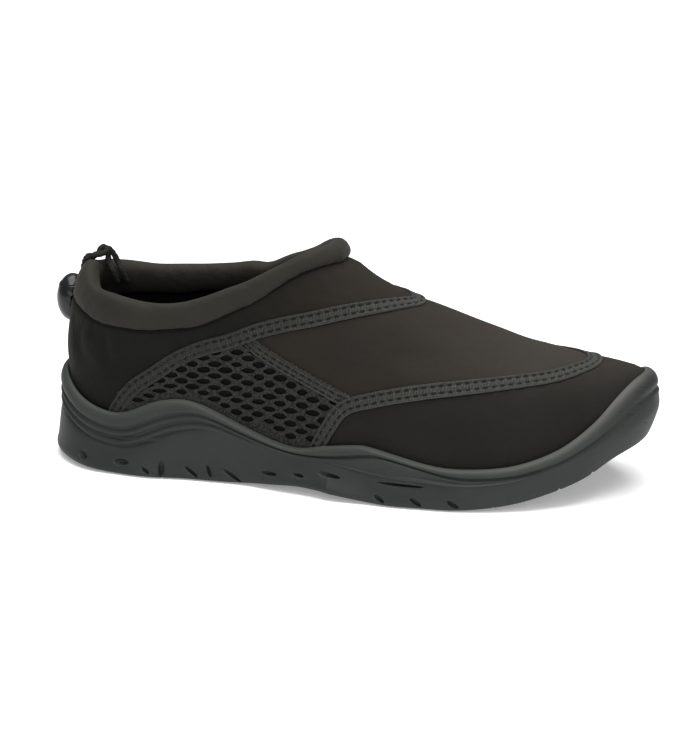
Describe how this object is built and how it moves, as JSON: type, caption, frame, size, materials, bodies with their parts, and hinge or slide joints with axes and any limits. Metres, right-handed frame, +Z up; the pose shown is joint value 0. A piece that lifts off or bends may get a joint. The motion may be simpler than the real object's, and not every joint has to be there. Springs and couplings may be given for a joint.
{
  "type": "water shoe",
  "caption": "Low slip-on water shoe for the right foot: cupped rubber sole, neoprene upper with net sides, padded collar roll, and a heel pull cord with a lock.",
  "frame": {"origin": "on the ground under the middle of the heel", "axes": "+X from heel to toe, +Y to the big-toe (medial) side, +Z up"},
  "size_m": [0.2731, 0.0956, 0.1024],
  "materials": {
    "sole_rubber": "dark grey-green moulded rubber",
    "insole_foam": "black cloth-topped foam",
    "neoprene": "matte dark brown-black neoprene jersey",
    "roll_knit": "matte dark knit over padding",
    "tape_webbing": "dark grey woven tape",
    "net": "near-black open net",
    "cord_braid": "dark braided cord",
    "lock_plastic": "glossy black plastic",
    "button_plastic": "light grey plastic"
  },
  "bodies": {
    "root": {"outsole": "sole_rubber", "insole": "insole_foam", "upper": "neoprene", "collar_roll": "roll_knit", "quarter_tape": "tape_webbing", "toe_tape": "tape_webbing", "net_tape_lateral": "tape_webbing", "net_tape_medial": "tape_webbing", "net_lateral": "net", "net_medial": "net", "pull_cord_near": "cord_braid", "pull_cord_far": "cord_braid", "lock_body": "lock_plastic", "lock_button": "button_plastic"}
  },
  "joints": []
}
